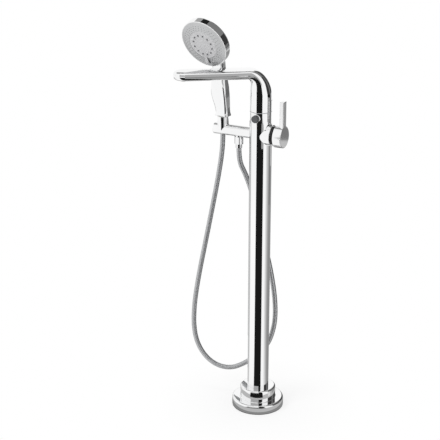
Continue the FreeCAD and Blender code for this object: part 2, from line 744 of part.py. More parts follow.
def shower_hose():
    points = [Vector(*p) for p in hose_route]
    radii = [0.0]
    for k in range(1, len(points) - 1):
        back = points[k - 1] - points[k]
        ahead = points[k + 1] - points[k]
        turn = math.pi - back.getAngle(ahead)
        radii.append(0.45 * min(back.Length, ahead.Length) / math.tan(turn / 2))
    radii.append(0.0)
    path = rounded_path(points, radii)
    section = Part.Wire(Part.makeCircle(hose_diameter / 2, points[0], points[1] - points[0]))
    hose = path.makePipeShell([section], True, False)
    expected = math.pi * hose_diameter ** 2 / 4 * path.Length
    print("hose length", round(path.Length, 1), "volume ratio", round(hose.Volume / expected, 4))
    print("hose radii", [round(r) for r in radii[1:-1]])
    save("shower_hose", hose)


# ---- Handset --------------------------------------------------------------------------------
def rounded_rectangle(width, depth, rounding, centre, lean):
    """A closed outline across the handle, leaning forward (towards -Y) by lean degrees."""
    half_width = width / 2
    half_depth = depth / 2
    corners = [
        Vector(-half_width, -half_depth, 0),
        Vector(half_width, -half_depth, 0),
        Vector(half_width, half_depth, 0),
        Vector(-half_width, half_depth, 0),
    ]
    wire = rounded_path(corners, [rounding] * 4, closed=True)
    wire.Placement = Placement(centre, Rotation(X_AXIS, lean))
    return wire


def on_handset(shape):
    """Turns a shape that was drawn facing -Y on the Z axis, and sets it over the cradle."""
    shape.rotate(Vector(), Z_AXIS, handset_turn)
    shape.translate(Vector(-cradle_reach, 0, 0))
    return shape


def on_face(shape):
    """Sets a shape drawn about Z on the spray face: -Z is its front, and +Y points to the handle."""
    centre = Vector(0, -head_forward, handset_base + head_rise)
    shape.Placement = Placement(centre, Rotation(X_AXIS, head_tilt - 90)).multiply(shape.Placement)
    return on_handset(shape)


def handset_handle():
    def spine(rise, setback=0.0):
        return Vector(0, setback - rise * math.tan(math.radians(handset_lean)), handset_base + rise)

    head = Vector(0, -head_forward, handset_base + head_rise)
    tilt = math.radians(head_tilt)
    back = Vector(0, math.cos(tilt), math.sin(tilt))
    down = Vector(0, math.sin(tilt), -math.cos(tilt))
    radius = head_diameter / 2
    entry = head + back * (head_depth * 0.98) + down * (radius * 0.92)
    inside = head + back * (head_depth * 0.72) + down * (radius * 0.55)
    palm = spine(neck_top - palm_drop)
    taper = spine(neck_top - taper_drop)
    throat = spine(neck_top - throat_drop, neck_setback)
    neck = spine(neck_top, neck_setback)
    sections = [
        rounded_rectangle(handle_width - 1, handle_thickness, handle_corner, spine(0), 0),
        rounded_rectangle(handle_width, handle_thickness, handle_corner, palm, handset_lean),
        rounded_rectangle(handle_width - 2, handle_thickness - 2, handle_corner, taper, handset_lean),
        rounded_rectangle(neck_width, neck_thickness, neck_corner, throat, handset_lean),
        rounded_rectangle(neck_width + 1, neck_thickness, neck_corner, neck, handset_lean + 4),
        rounded_rectangle(neck_width + 8, neck_thickness - 1, neck_corner, entry, head_tilt + 4),
        rounded_rectangle(neck_width + 14, neck_thickness - 8, 6, inside, head_tilt),
    ]
    handle = Part.makeLoft(sections, True, False)
    lower_edges = [e for e in handle.Edges if e.BoundBox.ZMax < handset_base + 0.01]
    return handle.makeFillet(handle_rounding, lower_edges)


def handset_parts():
    radius = head_diameter / 2
    recess = face_diameter / 2 + seat_gap
    shell = on_face(turned([
        (0, face_thickness),
        (recess, face_thickness),
        (recess, 0),
        (radius, 0, 0.8),
        (radius, head_depth * 0.68, 6.0),
        (radius * 0.84, head_depth * 0.96, 12.0),
        (0, head_depth),
    ]))
    handle = on_handset(handset_handle())
    face_clear = on_face(cylinder(2 * recess, -20, face_thickness))
    shaft_hole = on_face(cylinder(selector_shaft_diameter + 2 * running_gap, 0, selector_shaft_length + 1))
    foot = Vector(-cradle_reach, 0, handset_base)
    seat_bore = connector_seat_diameter + 2 * seat_gap
    seat_top = connector_seat_depth + seat_gap
    connector_bore = hose_diameter * 0.7
    seat = cylinder(seat_bore, -1, seat_top, origin=foot)
    water = cylinder(connector_bore, 0, seat_top + 6, origin=foot)
    body = shell.fuse(handle).cut([face_clear, shaft_hole, seat, water])
    save("handset_body", body.removeSplitter())
    connector = cylinder(connector_diameter, -connector_length, -seat_gap, origin=foot)
    connector = connector.fuse(cylinder(connector_seat_diameter, -1, connector_seat_depth, origin=foot))
    connector = connector.cut(cylinder(connector_bore, -2 * connector_length, seat_top, origin=foot))
    save("handset_connector", connector.removeSplitter())

    inner = selector_diameter / 2 + body_gap
    well = face_thickness - 2.0
    face = turned([
        (selector_shaft_diameter / 2 + seat_gap, face_thickness),
        (selector_shaft_diameter / 2 + seat_gap, well),
        (inner, well),
        (inner, -face_crown * 0.8),
        (face_diameter * 0.42, -face_crown * 0.45, 20.0),
        (face_diameter / 2, 0),
        (face_diameter / 2, face_thickness),
    ])
    save("spray_face", on_face(face))
    selector_parts(well)


def selector_parts(well):
    radius = selector_diameter / 2
    back = well - body_gap
    disc = turned([
        (0, back),
        (radius, back),
        (radius, -face_crown * 0.8, 1.0),
        (0, -face_crown),
    ])
    shaft = cylinder(selector_shaft_diameter, back - 0.5, back + selector_shaft_length - 2)
    front = -face_crown - selector_raise
    inner_end = nozzle_circle / 2 + nozzle_diameter
    sunk = -face_crown * 0.8 + 1
    clear = -face_crown * 0.8 - body_gap
    tab_profile = [
        Vector(0, inner_end, sunk),
        Vector(0, inner_end, -face_crown - 0.4),
        Vector(0, selector_tab_reach * 0.85, front),
        Vector(0, selector_tab_reach, front + 1),
        Vector(0, selector_tab_reach, clear),
        Vector(0, radius - 1, clear),
        Vector(0, radius - 1, sunk),
    ]
    tab_side = Part.Face(Part.makePolygon(tab_profile + tab_profile[:1]))
    tab = tab_side.extrude(Vector(selector_tab_width, 0, 0))
    tab.translate(Vector(-selector_tab_width / 2, 0, 0))
    narrow = selector_tab_width * 0.18
    outline_bottom = -selector_shaft_length * 2
    outline_corners = [
        Vector(-narrow, inner_end, outline_bottom),
        Vector(-selector_tab_width / 2, selector_tab_reach, outline_bottom),
        Vector(selector_tab_width / 2, selector_tab_reach, outline_bottom),
        Vector(narrow, inner_end, outline_bottom),
    ]
    outline = Part.Face(Part.makePolygon(outline_corners + outline_corners[:1]))
    outline = outline.extrude(Vector(0, 0, -2 * outline_bottom))
    selector = disc.fuse([shaft, tab.common(outline)])

    nozzle_front = -face_crown - nozzle_raise
    place = Vector(0, nozzle_circle / 2, 0)

    def nozzle_hole():
        return cylinder(nozzle_diameter + 2 * seat_gap, -2 * face_crown, 0, origin=place)

    def nozzle():
        stub = turned([
            (0, 0),
            (nozzle_diameter / 2, 0),
            (nozzle_diameter / 2, -face_crown),
            (nozzle_diameter * 0.35, nozzle_front),
            (0, nozzle_front),
        ], place)
        return stub

    half_step = 180.0 / nozzle_count
    holes = round_pattern(nozzle_hole, nozzle_count, half_step)
    save("spray_selector", on_face(selector.cut(holes).removeSplitter()))
    nozzles = Part.makeCompound(round_pattern(nozzle, nozzle_count, half_step))
    save("massage_nozzles", on_face(nozzles))


# ---- Spout ----------------------------------------------------------------------------------
def half_section(width, height, centre, across, upward):
    """The half of a round-ended outline on its across side, as two curves from bottom to top.

    It is a circle where width and height are equal, and a softly crowned bar where it is wide.
    """
    half_width = width / 2
    half_height = height / 2
    radius = min(half_width, half_height)
    flat = half_width - radius
    across_handle = radius * circle_handle + flat * 1.2
    upward_handle = half_height * (circle_handle + 0.154 * flat / radius)

    def quarter(corners):
        curve = Part.BezierCurve()
        curve.setPoles([centre + across * along + upward * rise for along, rise in corners])
        return curve.toShape()

    lower = [(0, -half_height), (across_handle, -half_height), (half_width, -upward_handle), (half_width, 0)]
    upper = [(along, -rise) for along, rise in reversed(lower)]
    return [quarter(lower), quarter(upper)]


def spout_section(width, height, centre, across, upward):
    """A closed outline with round ends: height is its thickness, width its full width."""
    half = half_section(width, height, centre, across, upward)
    mirrored = [edge.mirror(centre, across) for edge in reversed(half)]
    return Part.Wire(half + mirrored)


def spout_shell(inset):
    """The spout's outside, or the space inside it when inset is its wall. It runs along +X."""
    bend_bottom = spout_top - bend_rise
    pivot = Vector(column_radius + inner_bend_radius, 0, spout_top - spout_thickness - inner_bend_radius)
    near = column_radius

    def outer_edge(rise):
        """Distance from the column's axis to the bend's outside, at a height over its start."""
        share = min(max(rise / bend_rise, 0), 1)
        return -near + bend_run * (1 - math.sqrt(1 - share ** 2))

    sections = []
    level_heights = [0, 0.25, 0.45]
    for share in level_heights:
        height = bend_bottom + share * (pivot.z - bend_bottom)
        back = outer_edge(height - bend_bottom)
        depth = near - back - 2 * inset
        width = column_diameter - (column_diameter - spout_width) * share - 2 * inset
        centre = Vector((near + back) / 2, 0, height)
        sections.append(spout_section(width, depth, centre, Y_AXIS, -X_AXIS))
    cuts = 7
    for k in range(cuts):
        angle = math.radians(8 + (90 - 8) * k / (cuts - 1))
        ray = Vector(-math.cos(angle), 0, math.sin(angle))
        low = 0.0
        high = 2 * bend_rise
        for halving in range(50):
            middle = (low + high) / 2
            place = pivot + ray * middle
            rise = place.z - bend_bottom
            inside = rise < bend_rise and place.x > outer_edge(rise)
            if inside:
                low = middle
            else:
                high = middle
        thickness = low - inner_bend_radius - 2 * inset
        centre = pivot + ray * ((low + inner_bend_radius) / 2)
        share = 0.45 + 0.55 * (k + 1) / cuts
        width = column_diameter - (column_diameter - spout_width) * share - 2 * inset
        sections.append(spout_section(width, thickness, centre, Y_AXIS, ray))
    middle_height = spout_top - spout_thickness / 2
    end_centre = spout_reach - spout_width / 2
    thickness = spout_thickness - 2 * inset
    width = spout_width - 2 * inset
    straight = Vector(end_centre - pivot.x, 0, 0)
    straight_start = Vector(pivot.x, 0, middle_height)
    bar_start = straight_start + straight * 0.015
    sections.append(spout_section(width, thickness, bar_start, Y_AXIS, Z_AXIS))
    bend = Part.makeLoft(sections, True, False)
    riser = Part.Face(sections[0]).extrude(Vector(0, 0, spout_base - bend_bottom - inset))
    end_place = straight_start + straight
    bar = Part.Face(sections[-1]).extrude(end_place - bar_start)
    half = half_section(width, thickness, end_place, Y_AXIS, Z_AXIS)
    edge_reach = Z_AXIS * (thickness / 2)
    half.append(Part.makeLine(end_place + edge_reach, end_place - edge_reach))
    half_face = Part.Face(Part.Wire(half))
    tip = half_face.revolve(Vector(end_centre, 0, 0), Z_AXIS, -180)
    return riser.fuse([bend, bar, tip])


def spout_parts():
    outside = spout_shell(0)
    inside = spout_shell(spout_wall)
    shell = outside.cut(inside)
    outlet_place = spout_reach - outlet_setback
    slot = Part.makeBox(outlet_length, outlet_width, spout_thickness)
    slot.translate(Vector(outlet_place - outlet_length / 2, -outlet_width / 2, 0))
    slot = slot.makeFillet(outlet_length * 0.45, [e for e in slot.Edges if e.BoundBox.ZLength > 1])
    underside = spout_top - spout_thickness
    slot.translate(Vector(0, 0, underside - spout_thickness / 2))
    shell = shell.cut(slot)

    socket_top = spout_base + socket_height
    screw_level = swivel_seam_height + limit_screw_height
    screw_origin = Vector(0, 0, screw_level)
    screw_hole = cylinder(
        limit_screw_diameter + 2 * seat_gap, 0, column_radius + 1, -X_AXIS, screw_origin
    )
    socket = tube(
        column_diameter - 2 * (spout_wall + seat_gap),
        nipple_diameter + 2 * running_gap,
        spout_base,
        socket_top,
    ).cut(screw_hole)
    turn = Rotation(Z_AXIS, 180 + spout_turn)
    place = Placement(Vector(), turn)

    def turned_to_rest(shape):
        shape.Placement = place.multiply(shape.Placement)
        return shape

    save("spout_tube", turned_to_rest(shell.cut(screw_hole).removeSplitter()))
    save("spout_socket", turned_to_rest(socket))
    tip_radius = nipple_diameter / 2 - limit_groove_depth + body_gap
    screw = cylinder(limit_screw_diameter, tip_radius, column_radius - 0.5, -X_AXIS, screw_origin)
    drive = cylinder(limit_screw_diameter / 2, column_radius - 3, column_radius + 1, -X_AXIS, screw_origin)
    save("spout_limit_screw", turned_to_rest(screw.cut(drive)))

    insert_clear = 2 * seat_gap
    insert = Part.makeBox(outlet_length - insert_clear, outlet_width - insert_clear, spout_wall + 3)
    insert.translate(Vector(
        outlet_place - (outlet_length - insert_clear) / 2,
        -(outlet_width - insert_clear) / 2,
        underside + 0.2,
    ))
    upright = [e for e in insert.Edges if e.BoundBox.ZLength > 1]
    insert = insert.makeFillet((outlet_length - insert_clear) * 0.45, upright)
    slots = []
    slot_count = 7
    pitch = (outlet_width - 8) / slot_count
    for k in range(slot_count):
        opening = Part.makeBox(outlet_length * 0.6, pitch * 0.55, 2 * spout_thickness)
        side = (k - (slot_count - 1) / 2) * pitch - pitch * 0.275
        opening.translate(Vector(outlet_place - outlet_length * 0.3, side, underside - spout_thickness))
        slots.append(opening)
    save("outlet_insert", turned_to_rest(insert.cut(slots)))


def swivel_parts():
    nipple_top = swivel_seam_height + nipple_height
    flange_diameter_here = 2 * (column_inner - seat_gap)
    nipple = cylinder(nipple_diameter, nipple_base, nipple_top)
    nipple = nipple.fuse(cylinder(flange_diameter_here, nipple_base, swivel_seam_height))
    nipple = nipple.cut(cylinder(nipple_bore, nipple_base - 1, nipple_top + 1))
    groove_depth = o_ring_section + 2 * running_gap
    rings = []
    for rise in o_ring_heights:
        level = swivel_seam_height + rise
        groove = tube(
            nipple_diameter + 2,
            nipple_diameter - 2 * groove_depth,
            level - o_ring_section / 2 - seat_gap,
            level + o_ring_section / 2 + seat_gap,
        )
        nipple = nipple.cut(groove)
        ring_radius = nipple_diameter / 2 - o_ring_section / 2 - running_gap
        rings.append(Part.makeTorus(ring_radius, o_ring_section / 2, Vector(0, 0, level)))
    half_height = limit_screw_diameter / 2 + body_gap
    screw_angle = math.degrees(math.asin(half_height / (nipple_diameter / 2 - limit_groove_depth)))
    level = swivel_seam_height + limit_screw_height
    outer = nipple_diameter / 2 + 1
    inner = nipple_diameter / 2 - limit_groove_depth
    corners = [
        Vector(inner, 0, level - half_height),
        Vector(outer, 0, level - half_height),
        Vector(outer, 0, level + half_height),
        Vector(inner, 0, level + half_height),
        Vector(inner, 0, level - half_height),
    ]
    arc = swivel_range + 2 * screw_angle
    track = Part.Face(Part.makePolygon(corners)).revolve(Vector(), Z_AXIS, arc)
    track.rotate(Vector(), Z_AXIS, spout_turn - screw_angle)
    save("spout_nipple", nipple.cut(track).removeSplitter())
    save("spout_o_rings", Part.makeCompound(rings))
    save("swivel_washer", tube(
        column_diameter - 1,
        nipple_diameter + 2 * seat_gap,
        swivel_seam_height,
        swivel_seam_height + swivel_washer_thickness,
    ))


base_parts()
column_parts()
handle_parts(mixer_parts())
diverter_parts()
arm_parts()
cradle_parts()
shower_hose()
handset_parts()
spout_parts()
swivel_parts()
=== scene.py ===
"""Floor standing bath filler: chrome column, swivel spout, lever mixer, and a handset on a metal hose."""
import json
import math

import bpy
import numpy as np
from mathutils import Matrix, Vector


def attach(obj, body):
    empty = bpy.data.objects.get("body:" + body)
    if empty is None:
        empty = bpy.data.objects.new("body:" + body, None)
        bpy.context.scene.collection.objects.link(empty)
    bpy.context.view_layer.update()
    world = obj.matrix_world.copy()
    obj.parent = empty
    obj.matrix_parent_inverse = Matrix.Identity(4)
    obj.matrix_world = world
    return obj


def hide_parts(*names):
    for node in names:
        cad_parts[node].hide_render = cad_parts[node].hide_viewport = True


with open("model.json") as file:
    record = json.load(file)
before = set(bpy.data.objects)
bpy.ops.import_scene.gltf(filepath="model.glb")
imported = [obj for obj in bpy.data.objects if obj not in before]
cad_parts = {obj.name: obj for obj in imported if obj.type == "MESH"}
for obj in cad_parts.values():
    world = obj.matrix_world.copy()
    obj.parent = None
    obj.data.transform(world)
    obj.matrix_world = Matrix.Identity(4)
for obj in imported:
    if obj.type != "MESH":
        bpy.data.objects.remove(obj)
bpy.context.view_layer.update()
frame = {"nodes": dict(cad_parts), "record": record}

scene = bpy.context.scene
scene.view_settings.view_transform = "Standard"

# ---- Camera -------------------------------------------------------------------------------
FRAME_PIXELS = 440
FOCAL_PIXELS = 1300
SENSOR_MM = 36.0
CLIP_METRES = 100
CAMERA_PLACE = (1.38455, -3.02412, 1.8170)
CAMERA_AZIMUTH = 26.47
CAMERA_PITCH = 20.67
# The tilt at which a camera looks level.
LEVEL_VIEW = 90

camera_data = bpy.data.cameras.new("camera")
camera_data.sensor_width = SENSOR_MM
camera_data.lens = FOCAL_PIXELS * SENSOR_MM / FRAME_PIXELS
camera_data.clip_end = CLIP_METRES
camera = bpy.data.objects.new("camera", camera_data)
scene.collection.objects.link(camera)
camera.location = CAMERA_PLACE
camera.rotation_euler = (math.radians(LEVEL_VIEW - CAMERA_PITCH), 0, math.radians(CAMERA_AZIMUTH))
scene.camera = camera

# ---- Hose ---------------------------------------------------------------------------------
HOSE_DIAMETER = 0.014
HOSE_PITCH = 0.0036
HOSE_SIDES = 20
# How far each ring of one turn of the wound strip stands back from the hose's full radius.
RING_PROFILE = [0.0, -0.00005, -0.0005, -0.00075, -0.0005, -0.00005]
HOSE_ROUTE = [
    (-0.064, 0, 0.7610),
    (-0.064, 0, 0.724),
    (-0.052, 0.016, 0.684),
    (-0.044, 0.034, 0.638),
    (-0.034, 0.049, 0.582),
    (-0.021, 0.056, 0.508),
    (0.009, 0.057, 0.402),
    (0.029, 0.052, 0.300),
    (0.028, 0.048, 0.222),
    (0.001, 0.046, 0.150),
    (-0.070, 0.042, 0.086),
    (-0.118, 0.036, 0.067),
    (-0.167, 0.030, 0.080),
    (-0.203, 0.025, 0.122),
    (-0.218, 0.022, 0.180),
    (-0.214, 0.019, 0.262),
    (-0.196, 0.015, 0.360),
    (-0.173, 0.011, 0.462),
    (-0.150, 0.007, 0.566),
    (-0.129, 0.003, 0.662),
    (-0.116, 0.001, 0.735),
    (-0.112, 0, 0.785),
    (-0.112, 0, 0.8292),
]
SPLINE_STEPS = 24
SPLINE_ORDER = 3
# Points of the line that are nearer than this are one point.
SAME_PLACE = 1e-7
# Any direction that isn't along the hose's start: the rings' own sides are turned from it.
FIRST_SIDE = (0.3, 1, 0.2)


def add_mesh(name, vertices, faces, smooth=True):
    """A new object from lists of vertices and faces, linked to the scene."""
    mesh = bpy.data.meshes.new(name)
    mesh.from_pydata([tuple(v) for v in vertices], [], faces)
    mesh.update()
    if smooth:
        mesh.polygons.foreach_set("use_smooth", [True] * len(mesh.polygons))
    made = bpy.data.objects.new(name, mesh)
    scene.collection.objects.link(made)
    return made


def route_line():
    """The hose's centreline: points along a NURBS spline whose control points are the route."""
    curve = bpy.data.curves.new("hose_route", "CURVE")
    curve.dimensions = "3D"
    curve.resolution_u = SPLINE_STEPS
    spline = curve.splines.new("NURBS")
    spline.points.add(len(HOSE_ROUTE) - 1)
    for point, place in zip(spline.points, HOSE_ROUTE):
        point.co = (*place, 1)
    spline.order_u = SPLINE_ORDER
    spline.use_endpoint_u = True
    holder = bpy.data.objects.new("hose_route", curve)
    scene.collection.objects.link(holder)
    bpy.context.view_layer.update()
    line = bpy.data.meshes.new_from_object(holder)
    points = np.array([v.co[:] for v in line.vertices])
    bpy.data.objects.remove(holder)
    bpy.data.meshes.remove(line)
    return points


def even_points(points, step):
    """The same line with points a fixed step apart."""
    lengths = np.linalg.norm(np.diff(points, axis=0), axis=1)
    points = points[np.concatenate([[True], lengths > SAME_PLACE])]
    along = np.concatenate([[0], np.cumsum(np.linalg.norm(np.diff(points, axis=0), axis=1))])
    count = int(round(along[-1] / step))
    at = np.linspace(0, along[-1], count + 1)
    return np.stack([np.interp(at, along, points[:, axis]) for axis in range(3)], axis=1)


def swept_rings(line, radii, sides):
    """Rings of vertices along a line, without twist, each with its own radius."""
    tangents = np.gradient(line, axis=0)
    tangents /= np.linalg.norm(tangents, axis=1)[:, None]
    side = np.cross(tangents[0], FIRST_SIDE)
    rings = []
    for place, tangent, radius in zip(line, tangents, radii):
        side = side - tangent * np.dot(side, tangent)
        side = side / np.linalg.norm(side)
        other = np.cross(tangent, side)
        for k in range(sides):
            angle = 2 * math.pi * k / sides
            rings.append(place + radius * (math.cos(angle) * side + math.sin(angle) * other))
    return rings


def band_faces(low, sides):
    """The faces between the ring of vertices that starts at low and the ring after it."""
    faces = []
    for k in range(sides):
        following = (k + 1) % sides
        faces.append((low + k, low + following, low + sides + following, low + sides + k))
    return faces


def tube_faces(count, sides):
    """The faces of a tube of so many rings, closed at both ends."""
    faces = []
    for ring in range(count - 1):
        faces += band_faces(ring * sides, sides)
    faces.append(tuple(range(sides - 1, -1, -1)))
    faces.append(tuple(range((count - 1) * sides, count * sides)))
    return faces


hose_line = even_points(route_line(), HOSE_PITCH / len(RING_PROFILE))
hose_radii = [HOSE_DIAMETER / 2 + RING_PROFILE[k % len(RING_PROFILE)] for k in range(len(hose_line))]
hose = add_mesh(
    "hose",
    swept_rings(hose_line, hose_radii, HOSE_SIDES),
    tube_faces(len(hose_line), HOSE_SIDES),
)
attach(hose, "base")
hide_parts("shower_hose")


# ---- Shader nodes -------------------------------------------------------------------------
# Numbers of a mix node's sockets, which share their names: the two values and the result.
MIX_COLOURS = (6, 7, 2)
MIX_VECTORS = (4, 5, 1)


def add_node(tree, kind, inputs=None, **settings):
    """A new node with its settings and inputs. An input is a socket to link, or a plain value."""
    node = tree.nodes.new(kind)
    for name, value in settings.items():
        setattr(node, name, value)
    for name, value in (inputs or {}).items():
        if isinstance(value, bpy.types.NodeSocket):
            tree.links.new(value, node.inputs[name])
        else:
            node.inputs[name].default_value = value
    return node


def cleared_tree(owner):
    """The node tree of a material or world, emptied."""
    owner.use_nodes = True
    owner.node_tree.nodes.clear()
    return owner.node_tree


def calculate(tree, operation, first, second):
    """The result of one calculation with two numbers."""
    return add_node(tree, "ShaderNodeMath", {0: first, 1: second}, operation=operation).outputs[0]


def noise(tree, scale, detail=4.0, stretch=(1, 1, 1)):
    """Noise in the object's own coordinates."""
    place = add_node(tree, "ShaderNodeTexCoord").outputs["Object"]
    mapped = add_node(tree, "ShaderNodeMapping", {"Vector": place, "Scale": stretch}).outputs["Vector"]
    inputs = {"Vector": mapped, "Scale": scale, "Detail": detail}
    return add_node(tree, "ShaderNodeTexNoise", inputs).outputs["Fac"]


def ranged(tree, value, low, high, start=0.3, end=0.7):
    """Value from start..end mapped to low..high."""
    inputs = {"Value": value, "From Min": start, "From Max": end, "To Min": low, "To Max": high}
    return add_node(tree, "ShaderNodeMapRange", inputs).outputs["Result"]


def mixed(tree, kind, sockets, factor, first, second):
    """Two colours or two vectors, mixed by a factor."""
    inputs = {0: factor, sockets[0]: first, sockets[1]: second}
    return add_node(tree, "ShaderNodeMix", inputs, data_type=kind).outputs[sockets[2]]


def set_colour(tree, shader, factor, first, second):
    """Gives a shader the first colour where the factor is 0 and the second where it is 1."""
    colour = mixed(tree, "RGBA", MIX_COLOURS, factor, (*first, 1), (*second, 1))
    tree.links.new(colour, shader.inputs["Base Color"])


def set_bump(tree, shader, height, strength, distance):
    """Roughens the look of a surface by a height texture."""
    inputs = {"Strength": strength, "Distance": distance, "Height": height}
    bump = add_node(tree, "ShaderNodeBump", inputs)
    tree.links.new(bump.outputs["Normal"], shader.inputs["Normal"])


def rays_seen(tree, *kinds):
    """1 for rays of these kinds, and 0 for all others."""
    rays = add_node(tree, "ShaderNodeLightPath").outputs
    seen = rays[kinds[0]]
    for kind in kinds[1:]:
        seen = calculate(tree, "MAXIMUM", seen, rays[kind])
    return seen


# ---- Materials ----------------------------------------------------------------------------
def new_material(name, metallic=0.0):
    """A new material, its node tree and its shader."""
    material = bpy.data.materials.new(name)
    material.use_nodes = True
    shader = material.node_tree.nodes["Principled BSDF"]
    shader.inputs["Metallic"].default_value = metallic
    return material, material.node_tree, shader


def scaled(colour, share):
    """A colour made darker or lighter by a share."""
    return tuple(c * share for c in colour)


def polished(name, colour, rough, smear=0.05, ripple=0.02):
    """Plated metal: a mirror with faint wiped smears and water marks in its roughness."""
    material, tree, shader = new_material(name, metallic=1.0)
    wide = noise(tree, scale=9.0, detail=3.0, stretch=(1, 1, 0.3))
    marks = noise(tree, scale=160.0, detail=2.0)
    set_colour(tree, shader, ranged(tree, wide, 0, 1), colour, scaled(colour, 0.93))
    smears = ranged(tree, wide, rough, rough + smear, start=0.45, end=0.75)
    spots = ranged(tree, marks, 0, smear * 0.6, start=0.62, end=0.75)
    tree.links.new(calculate(tree, "ADD", smears, spots), shader.inputs["Roughness"])
    set_bump(tree, shader, noise(tree, scale=30.0, detail=2.0), ripple, distance=0.0004)
    return material


def brushed(name, colour, rough, stretch):
    """Drawn or turned metal with fine lines along one direction."""
    material, tree, shader = new_material(name, metallic=1.0)
    lines = noise(tree, scale=60.0, detail=6.0, stretch=stretch)
    set_colour(tree, shader, ranged(tree, lines, 0, 1), scaled(colour, 0.82), colour)
    tree.links.new(ranged(tree, lines, rough * 0.8, rough * 1.35), shader.inputs["Roughness"])
    set_bump(tree, shader, lines, strength=0.15, distance=0.0003)
    return material


def moulded(name, colour, rough, grain=700.0, bump=0.2):
    """Moulded plastic or rubber with a fine grain and slight changes of tone."""
    material, tree, shader = new_material(name)
    tone = noise(tree, scale=14.0, detail=3.0)
    set_colour(tree, shader, ranged(tree, tone, 0, 1), scaled(colour, 0.9), colour)
    tree.links.new(ranged(tree, tone, rough * 0.85, rough * 1.15), shader.inputs["Roughness"])
    set_bump(tree, shader, noise(tree, scale=grain, detail=2.0), bump, distance=0.0002)
    return material


def wound_strip(name, painted_groove_shade, ridge):
    """Wound steel strip: bright ridges, with painted shade in the hollows between the turns."""
    material, tree, shader = new_material(name, metallic=1.0)
    pointed = add_node(tree, "ShaderNodeNewGeometry").outputs["Pointiness"]
    # Painted shade: where the strip curves inward between the turns, it gets the dark colour.
    set_colour(tree, shader, ranged(tree, pointed, 0, 1, start=0.44, end=0.56), painted_groove_shade, ridge)
    tree.links.new(ranged(tree, noise(tree, scale=90.0), 0.22, 0.36), shader.inputs["Roughness"])
    return material


def upright_below(material, low, high):
    """Shades the outside of a tube about the Z axis as upright below low, and as modelled above high."""
    tree = material.node_tree
    place = add_node(tree, "ShaderNodeTexCoord").outputs["Object"]
    parts = add_node(tree, "ShaderNodeSeparateXYZ", {0: place}).outputs
    outward = add_node(tree, "ShaderNodeCombineXYZ", {"X": parts["X"], "Y": parts["Y"]}).outputs[0]
    radial = add_node(tree, "ShaderNodeVectorTransform", {0: outward},
                      vector_type="NORMAL", convert_from="OBJECT", convert_to="WORLD").outputs[0]
    normal = add_node(tree, "ShaderNodeNewGeometry").outputs["Normal"]
    facing = add_node(tree, "ShaderNodeVectorMath", {0: radial, 1: normal}, operation="DOT_PRODUCT")
    outside = calculate(tree, "GREATER_THAN", facing.outputs["Value"], 0.5)
    below = ranged(tree, parts["Z"], 1, 0, start=low, end=high)
    share = calculate(tree, "MULTIPLY", outside, below)
    blend = mixed(tree, "VECTOR", MIX_VECTORS, share, normal, radial)
    unit = add_node(tree, "ShaderNodeVectorMath", {0: blend}, operation="NORMALIZE").outputs[0]
    bump = next(node for node in tree.nodes if node.bl_idname == "ShaderNodeBump")
    tree.links.new(unit, bump.inputs["Normal"])
    return material


CHROME = {"colour": (0.96, 0.962, 0.965), "rough": 0.03, "smear": 0.03, "ripple": 0.004}
# Heights in metres: the riser is shaded as upright below the first, and as modelled above the second.
RISER_UPRIGHT = 0.914
RISER_MODELLED = 0.935
materials = {
    "chrome": polished("chrome_plate", **CHROME),
    "spout_chrome": upright_below(polished("spout_plate", **CHROME), RISER_UPRIGHT, RISER_MODELLED),
    "dark_chrome": polished("dark_chrome_plate", (0.12, 0.122, 0.126), 0.08, smear=0.03, ripple=0.004),
    "spray_grey": polished("satin_plate", (0.60, 0.605, 0.61), 0.32, smear=0.06),
    "selector_grey": moulded("selector_plastic", (0.60, 0.60, 0.61), 0.34, grain=900.0, bump=0.08),
    "steel": brushed("plain_steel", (0.55, 0.55, 0.56), 0.35, stretch=(1, 1, 8)),
    # The hose's dark colour is painted shade for the hollows between its turns.
    "hose_metal": wound_strip("hose_strip", painted_groove_shade=(0.16, 0.16, 0.17), ridge=(0.70, 0.71, 0.72)),
    "brass": brushed("turned_brass", (0.72, 0.55, 0.26), 0.30, stretch=(1, 1, 12)),
    "copper": brushed("drawn_copper", (0.72, 0.40, 0.26), 0.28, stretch=(8, 8, 0.5)),
    "rubber": moulded("black_rubber", (0.03, 0.03, 0.03), 0.75, grain=500.0, bump=0.3),
    "nozzle_rubber": moulded("grey_rubber", (0.16, 0.16, 0.17), 0.60, grain=500.0),
    "white_plastic": moulded("white_plastic", (0.80, 0.80, 0.78), 0.40),
    "grey_plastic": moulded("grey_plastic", (0.45, 0.46, 0.47), 0.40),
    "black_plastic": moulded("black_plastic", (0.012, 0.012, 0.013), 0.38),
}
# Nodes whose look differs from others in the same slot.
OWN_MATERIALS = {
    "spout_tube": "spout_chrome",
    "diverter_knob": "dark_chrome",
    "swivel_washer": "grey_plastic",
}


def set_material(piece, material):
    """Gives the whole of a piece one material."""
    slots = piece.data.materials
    if len(slots) == 0:
        slots.append(material)
    for k in range(len(slots)):
        slots[k] = material


for part in frame["record"]["subparts"]:
    key = OWN_MATERIALS.get(part["node"], part["material_slot"])
    set_material(frame["nodes"][part["node"]], materials[key])
set_material(hose, materials["hose_metal"])

for node in frame["nodes"].values():
    node.data.polygons.foreach_set("use_smooth", [True] * len(node.data.polygons))

# ---- Spray face: its fine rows of nozzles ---------------------------------------------------
FACE_CENTRE = Vector((-0.126046, -0.084845, 1.0560))
FACE_NORMAL = Vector((-0.150119, -0.906793, -0.393942))
FACE_UP = (Vector((0, 0, 1)) - FACE_NORMAL * FACE_NORMAL.z).normalized()
FACE_LEFT = FACE_NORMAL.cross(FACE_UP)
# Each row's radius, how far its nozzles stand out from the face's plane, and their number.
NOZZLE_ROWS = [(0.0455, 0.00350, 30), (0.0505, 0.00290, 36), (0.0555, 0.00215, 42)]
NOZZLE_RADIUS = 0.0009
NOZZLE_SIDES = 10
# A nozzle's outline from foot to tip, as width and rise in nozzle radii.
NOZZLE_OUTLINE = [(1.0, -0.3), (0.9, 0.35), (0.5, 0.8), (0.0, 0.95)]


